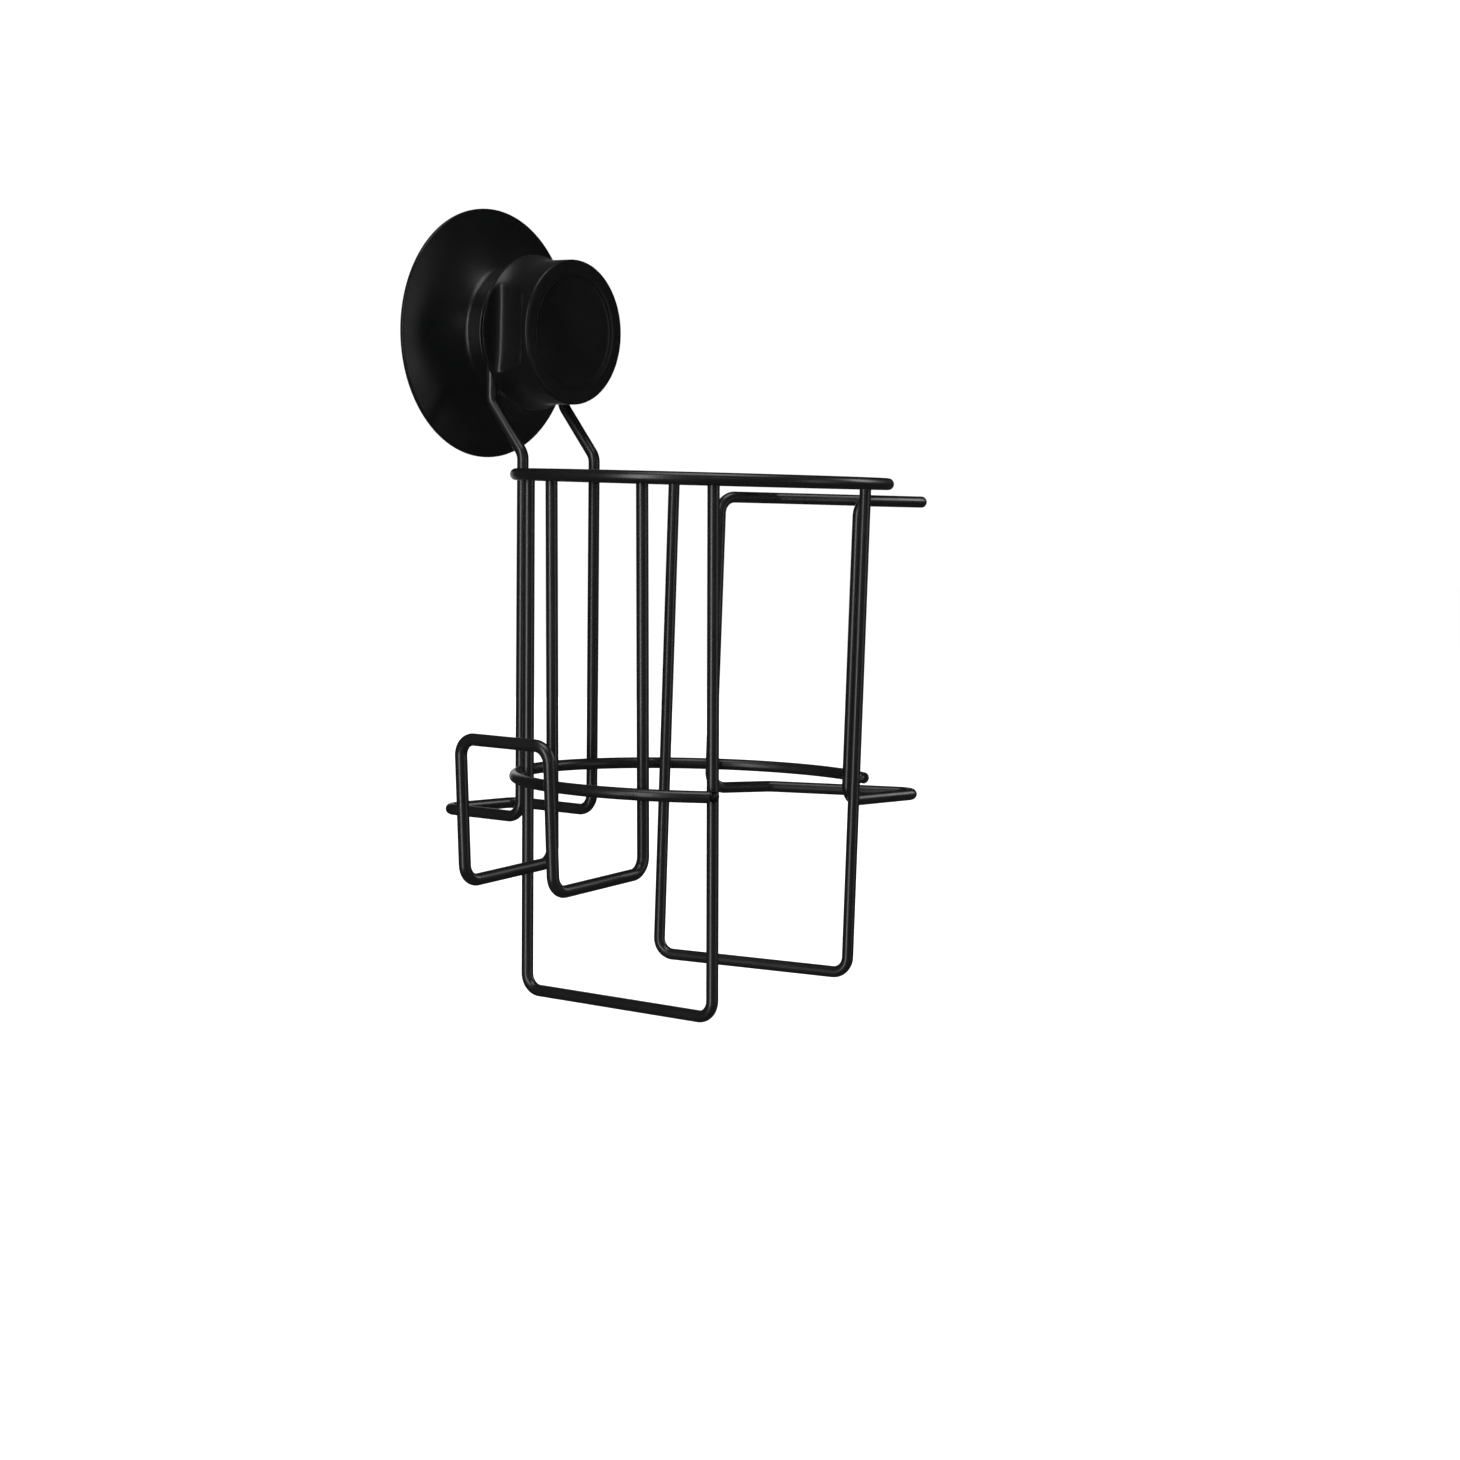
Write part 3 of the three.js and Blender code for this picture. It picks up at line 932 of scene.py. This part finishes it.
    def build_hanger(self) -> None:
        """Draw the closed wire that hangs on the cup's neck: foot, two legs and the arch."""
        line = WireLine(self.bend_r, closed=True)
        weld = Vector((0, self.foot_y, self.foot_z))
        line.add_butt_weld(weld, Vector((-1, 0, 0)))
        left = [weld] + self.hanger_corners(Side.LEFT)
        for before, corner, after in zip(left, left[1:], left[2:]):
            line.add_bend(before, corner, after)
        steps = 28
        for i in range(steps + 1):
            a = math.pi * i / steps
            line.add(Vector((-self.hanger_x * math.cos(a), self.groove_y, self.hanger_x * math.sin(a))))
        right = list(reversed(self.hanger_corners(Side.RIGHT))) + [weld]
        for before, corner, after in zip(right, right[1:], right[2:]):
            line.add_bend(before, corner, after)
        self.drawn("hanger_wire", line)
        for side in Side:
            self.weld_hanger(side)

    def weld_hanger(self, side: Side) -> None:
        """Note the two welds that hold a leg of the hanger against the backs of the hoops.

        Args:
            side: Side of the hanger.
        """
        for hoop in (self.top, self.lower):
            leg = self.hanger_leg(side, hoop.centre.z)
            out = (leg - hoop.centre).normalized()
            place = hoop.centre + out * (hoop.radius + self.crossing / 2)
            self.welds.append(Weld(place, Vector((-out.y, out.x, 0)), out))

    def fillet(self) -> bpy.types.Object:
        """Make one weld fillet: a small waisted nugget whose two ends follow the crossing wires.

        Returns:
            A loose object, with the hoop's wire along X below it and the other wire along Y above it.
        """
        neck, foot, sink = 1.2 * MM, 1.52 * MM, 0.06 * MM
        half = self.crossing / 2
        turns, levels = 24, 8
        verts = []
        for j in range(levels + 1):
            h = j / levels
            radius = neck + (foot - neck) * (2 * h - 1) ** 2
            for k in range(turns):
                a = 2 * math.pi * k / turns
                x, y = radius * math.cos(a), radius * math.sin(a)
                low = -half + math.sqrt(self.wire_r ** 2 - y * y) - sink
                high = half - math.sqrt(self.wire_r ** 2 - x * x) + sink
                verts.append((x, y, low + (high - low) * h))
        faces = [tuple(reversed(range(turns))), tuple(range(levels * turns, (levels + 1) * turns))]
        for j in range(levels):
            for k in range(turns):
                a, b = j * turns + k, j * turns + (k + 1) % turns
                faces.append((a, b, b + turns, a + turns))
        mesh = bpy.data.meshes.new("weld_fillet")
        mesh.from_pydata(verts, [], faces)
        return bpy.data.objects.new("weld_fillet", mesh)

    def build_welds(self) -> None:
        """Put a fillet at each weld that the wires have noted."""
        mesh = bpy.data.meshes.new("weld_places")
        mesh.from_pydata([w.place for w in self.welds], [], [])
        for name in ("across", "along"):
            values = mesh.attributes.new(name, "FLOAT_VECTOR", "POINT")
            values.data.foreach_set("vector", [c for w in self.welds for c in getattr(w, name)])
        fillet = self.fillet()
        values = {"Fillet": fillet, "Material": self.coat}
        piece = made_by_nodes("weld_fillets", mesh, weld_tree(), values)
        bpy.data.objects.remove(fillet)
        mount_piece(piece, Body.RACK, Slot.WIRE)

    def build(self) -> None:
        """Draw every wire of the rack and weld them."""
        self.build_hanger()
        self.build_top_hoop()
        self.build_lower_hoop()
        for side in Side:
            self.build_cradle(side)
        self.build_cord_hook()
        self.build_side_loops()
        self.build_welds()


# ---- Studio -----------------------------------------------------------------------------------------


def square_mesh(name: str, half: float, level: float = 0.0) -> bpy.types.Mesh:
    """Make a flat square that faces up.

    Args:
        name: Name of the mesh.
        half: Half of its side.
        level: Its height.

    Returns:
        The mesh.
    """
    corners = [(-half, -half, level), (half, -half, level), (half, half, level), (-half, half, level)]
    mesh = bpy.data.meshes.new(name)
    mesh.from_pydata(corners, [], [(0, 1, 2, 3)])
    return mesh


@dataclass(frozen=True)
class Lamp:
    """One soft box, aimed at the middle of the holder."""

    name: str
    azimuth: float
    elevation: float
    distance: float
    size: tuple[float, float]
    watts: float
    off_the_cup: bool = False         # whether a card keeps its light off the cup


@dataclass
class Studio:
    """White paper floor, soft boxes, the card that shades the cup, pale surroundings and the camera."""

    floor_drop: float = 30 * MM       # floor below the lowest wire
    floor_half: float = 6.0
    eye: tuple[float, float, float] = (-0.6485, -0.6017, -0.0435)
    heading: float = -51.83
    pitch: float = 4.38
    roll: float = 1.54
    lens_mm: float = 76.02
    surround: str = "#ffffff"
    surround_strength: float = 1.04
    mirrored_strength: float = 0.03   # how bright the surroundings look in the gloss of the holder
    lamps: tuple[Lamp, ...] = (
        Lamp("key_box", -88, 6, 1.6, (0.26, 1.9), 14.5),
        Lamp("front_box", -38, 14, 1.9, (0.5, 0.35), 0.6),
        Lamp("side_box", 20, 3, 1.8, (0.22, 1.0), 2.0),
        Lamp("right_box", 64, 24, 1.8, (0.6, 0.7), 5.0, off_the_cup=True),
        Lamp("top_box", -45, 78, 1.5, (1.1, 0.7), 9.0),
        Lamp("back_box", 140, 4, 1.6, (0.5, 0.7), 1.2),
    )
    card_reach: float = 115 * MM      # from the cup to the card that shades it
    card_half: float = 62 * MM
    paper: StudioPaper = field(default_factory=StudioPaper)
    felt: BlackFelt = field(default_factory=BlackFelt)

    def build_floor(self) -> None:
        """Lay the paper floor under the holder."""
        z = CAD_BOX[0][2] - self.floor_drop
        mesh = square_mesh("paper_floor", self.floor_half, z)
        mesh.materials.append(self.paper.material())
        floor = bpy.data.objects.new("paper_floor", mesh)
        bpy.context.scene.collection.objects.link(floor)
        floor.visible_glossy = False
        floor.visible_shadow = False

    def build_camera(self) -> None:
        """Place the camera."""
        a, e, r = (math.radians(v) for v in (self.heading, self.pitch, self.roll))
        ahead = Vector((-math.sin(a) * math.cos(e), math.cos(a) * math.cos(e), -math.sin(e)))
        level = Vector((math.cos(a), math.sin(a), 0))
        over = level.cross(ahead)
        right = level * math.cos(r) + over * math.sin(r)
        up = over * math.cos(r) - level * math.sin(r)
        data = bpy.data.cameras.new("camera")
        data.sensor_fit = "HORIZONTAL"
        data.sensor_width = 36.0
        data.lens = self.lens_mm
        data.clip_start, data.clip_end = 0.01, 50.0
        camera = bpy.data.objects.new("camera", data)
        axes = Matrix((right, up, -ahead)).transposed().to_4x4()
        camera.matrix_world = Matrix.Translation(self.eye) @ axes
        bpy.context.scene.collection.objects.link(camera)
        bpy.context.scene.camera = camera

    def build_card(self, box: bpy.types.Object) -> None:
        """Hang a felt card that keeps a lamp off the cup. The camera does not see it.

        Args:
            box: The lamp.
        """
        low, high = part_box("suction_cup")
        cup = (low + high) / 2
        mesh = square_mesh("felt_card", self.card_half)
        mesh.materials.append(self.felt.material())
        card = bpy.data.objects.new("felt_card", mesh)
        card.location = cup + (box.location - cup).normalized() * self.card_reach
        card.rotation_euler = box.rotation_euler
        bpy.context.scene.collection.objects.link(card)
        card.visible_camera = False

    def build_lamps(self) -> None:
        """Hang the soft boxes and set the pale surroundings."""
        middle = (Vector(CAD_BOX[0]) + Vector(CAD_BOX[1])) / 2
        for lamp in self.lamps:
            a, e = math.radians(lamp.azimuth), math.radians(lamp.elevation)
            away = Vector((math.sin(a) * math.cos(e), -math.cos(a) * math.cos(e), math.sin(e)))
            data = bpy.data.lights.new(lamp.name, "AREA")
            data.shape = "RECTANGLE"
            data.size, data.size_y = lamp.size
            data.energy = lamp.watts
            box = bpy.data.objects.new(lamp.name, data)
            box.location = middle + away * lamp.distance
            box.rotation_euler = away.to_track_quat("Z", "Y").to_euler()
            bpy.context.scene.collection.objects.link(box)
            if lamp.off_the_cup:
                self.build_card(box)
        world = bpy.data.worlds.new("pale_surroundings")
        world.use_nodes = True
        sky = world.node_tree.nodes["Background"]
        sky.inputs["Color"].default_value = linear(self.surround)
        ray = add_node(world.node_tree, "ShaderNodeLightPath")
        strength = add_node(world.node_tree, "ShaderNodeMapRange", inputs={
            "Value": ray.outputs["Is Glossy Ray"], "To Min": self.surround_strength,
            "To Max": self.mirrored_strength})
        world.node_tree.links.new(strength.outputs[0], sky.inputs["Strength"])
        bpy.context.scene.world = world
        bpy.context.scene.view_settings.view_transform = "Standard"

    def build(self) -> None:
        """Set up the floor, the camera and the light."""
        self.build_camera()
        self.build_floor()
        self.build_lamps()


def main() -> None:
    """Build the studio, the cup and the rack."""
    logging.basicConfig(level=logging.INFO, format="%(message)s")
    Studio().build()
    SuctionCup().build()
    WireRack().build()


if __name__ == "__main__":
    main()
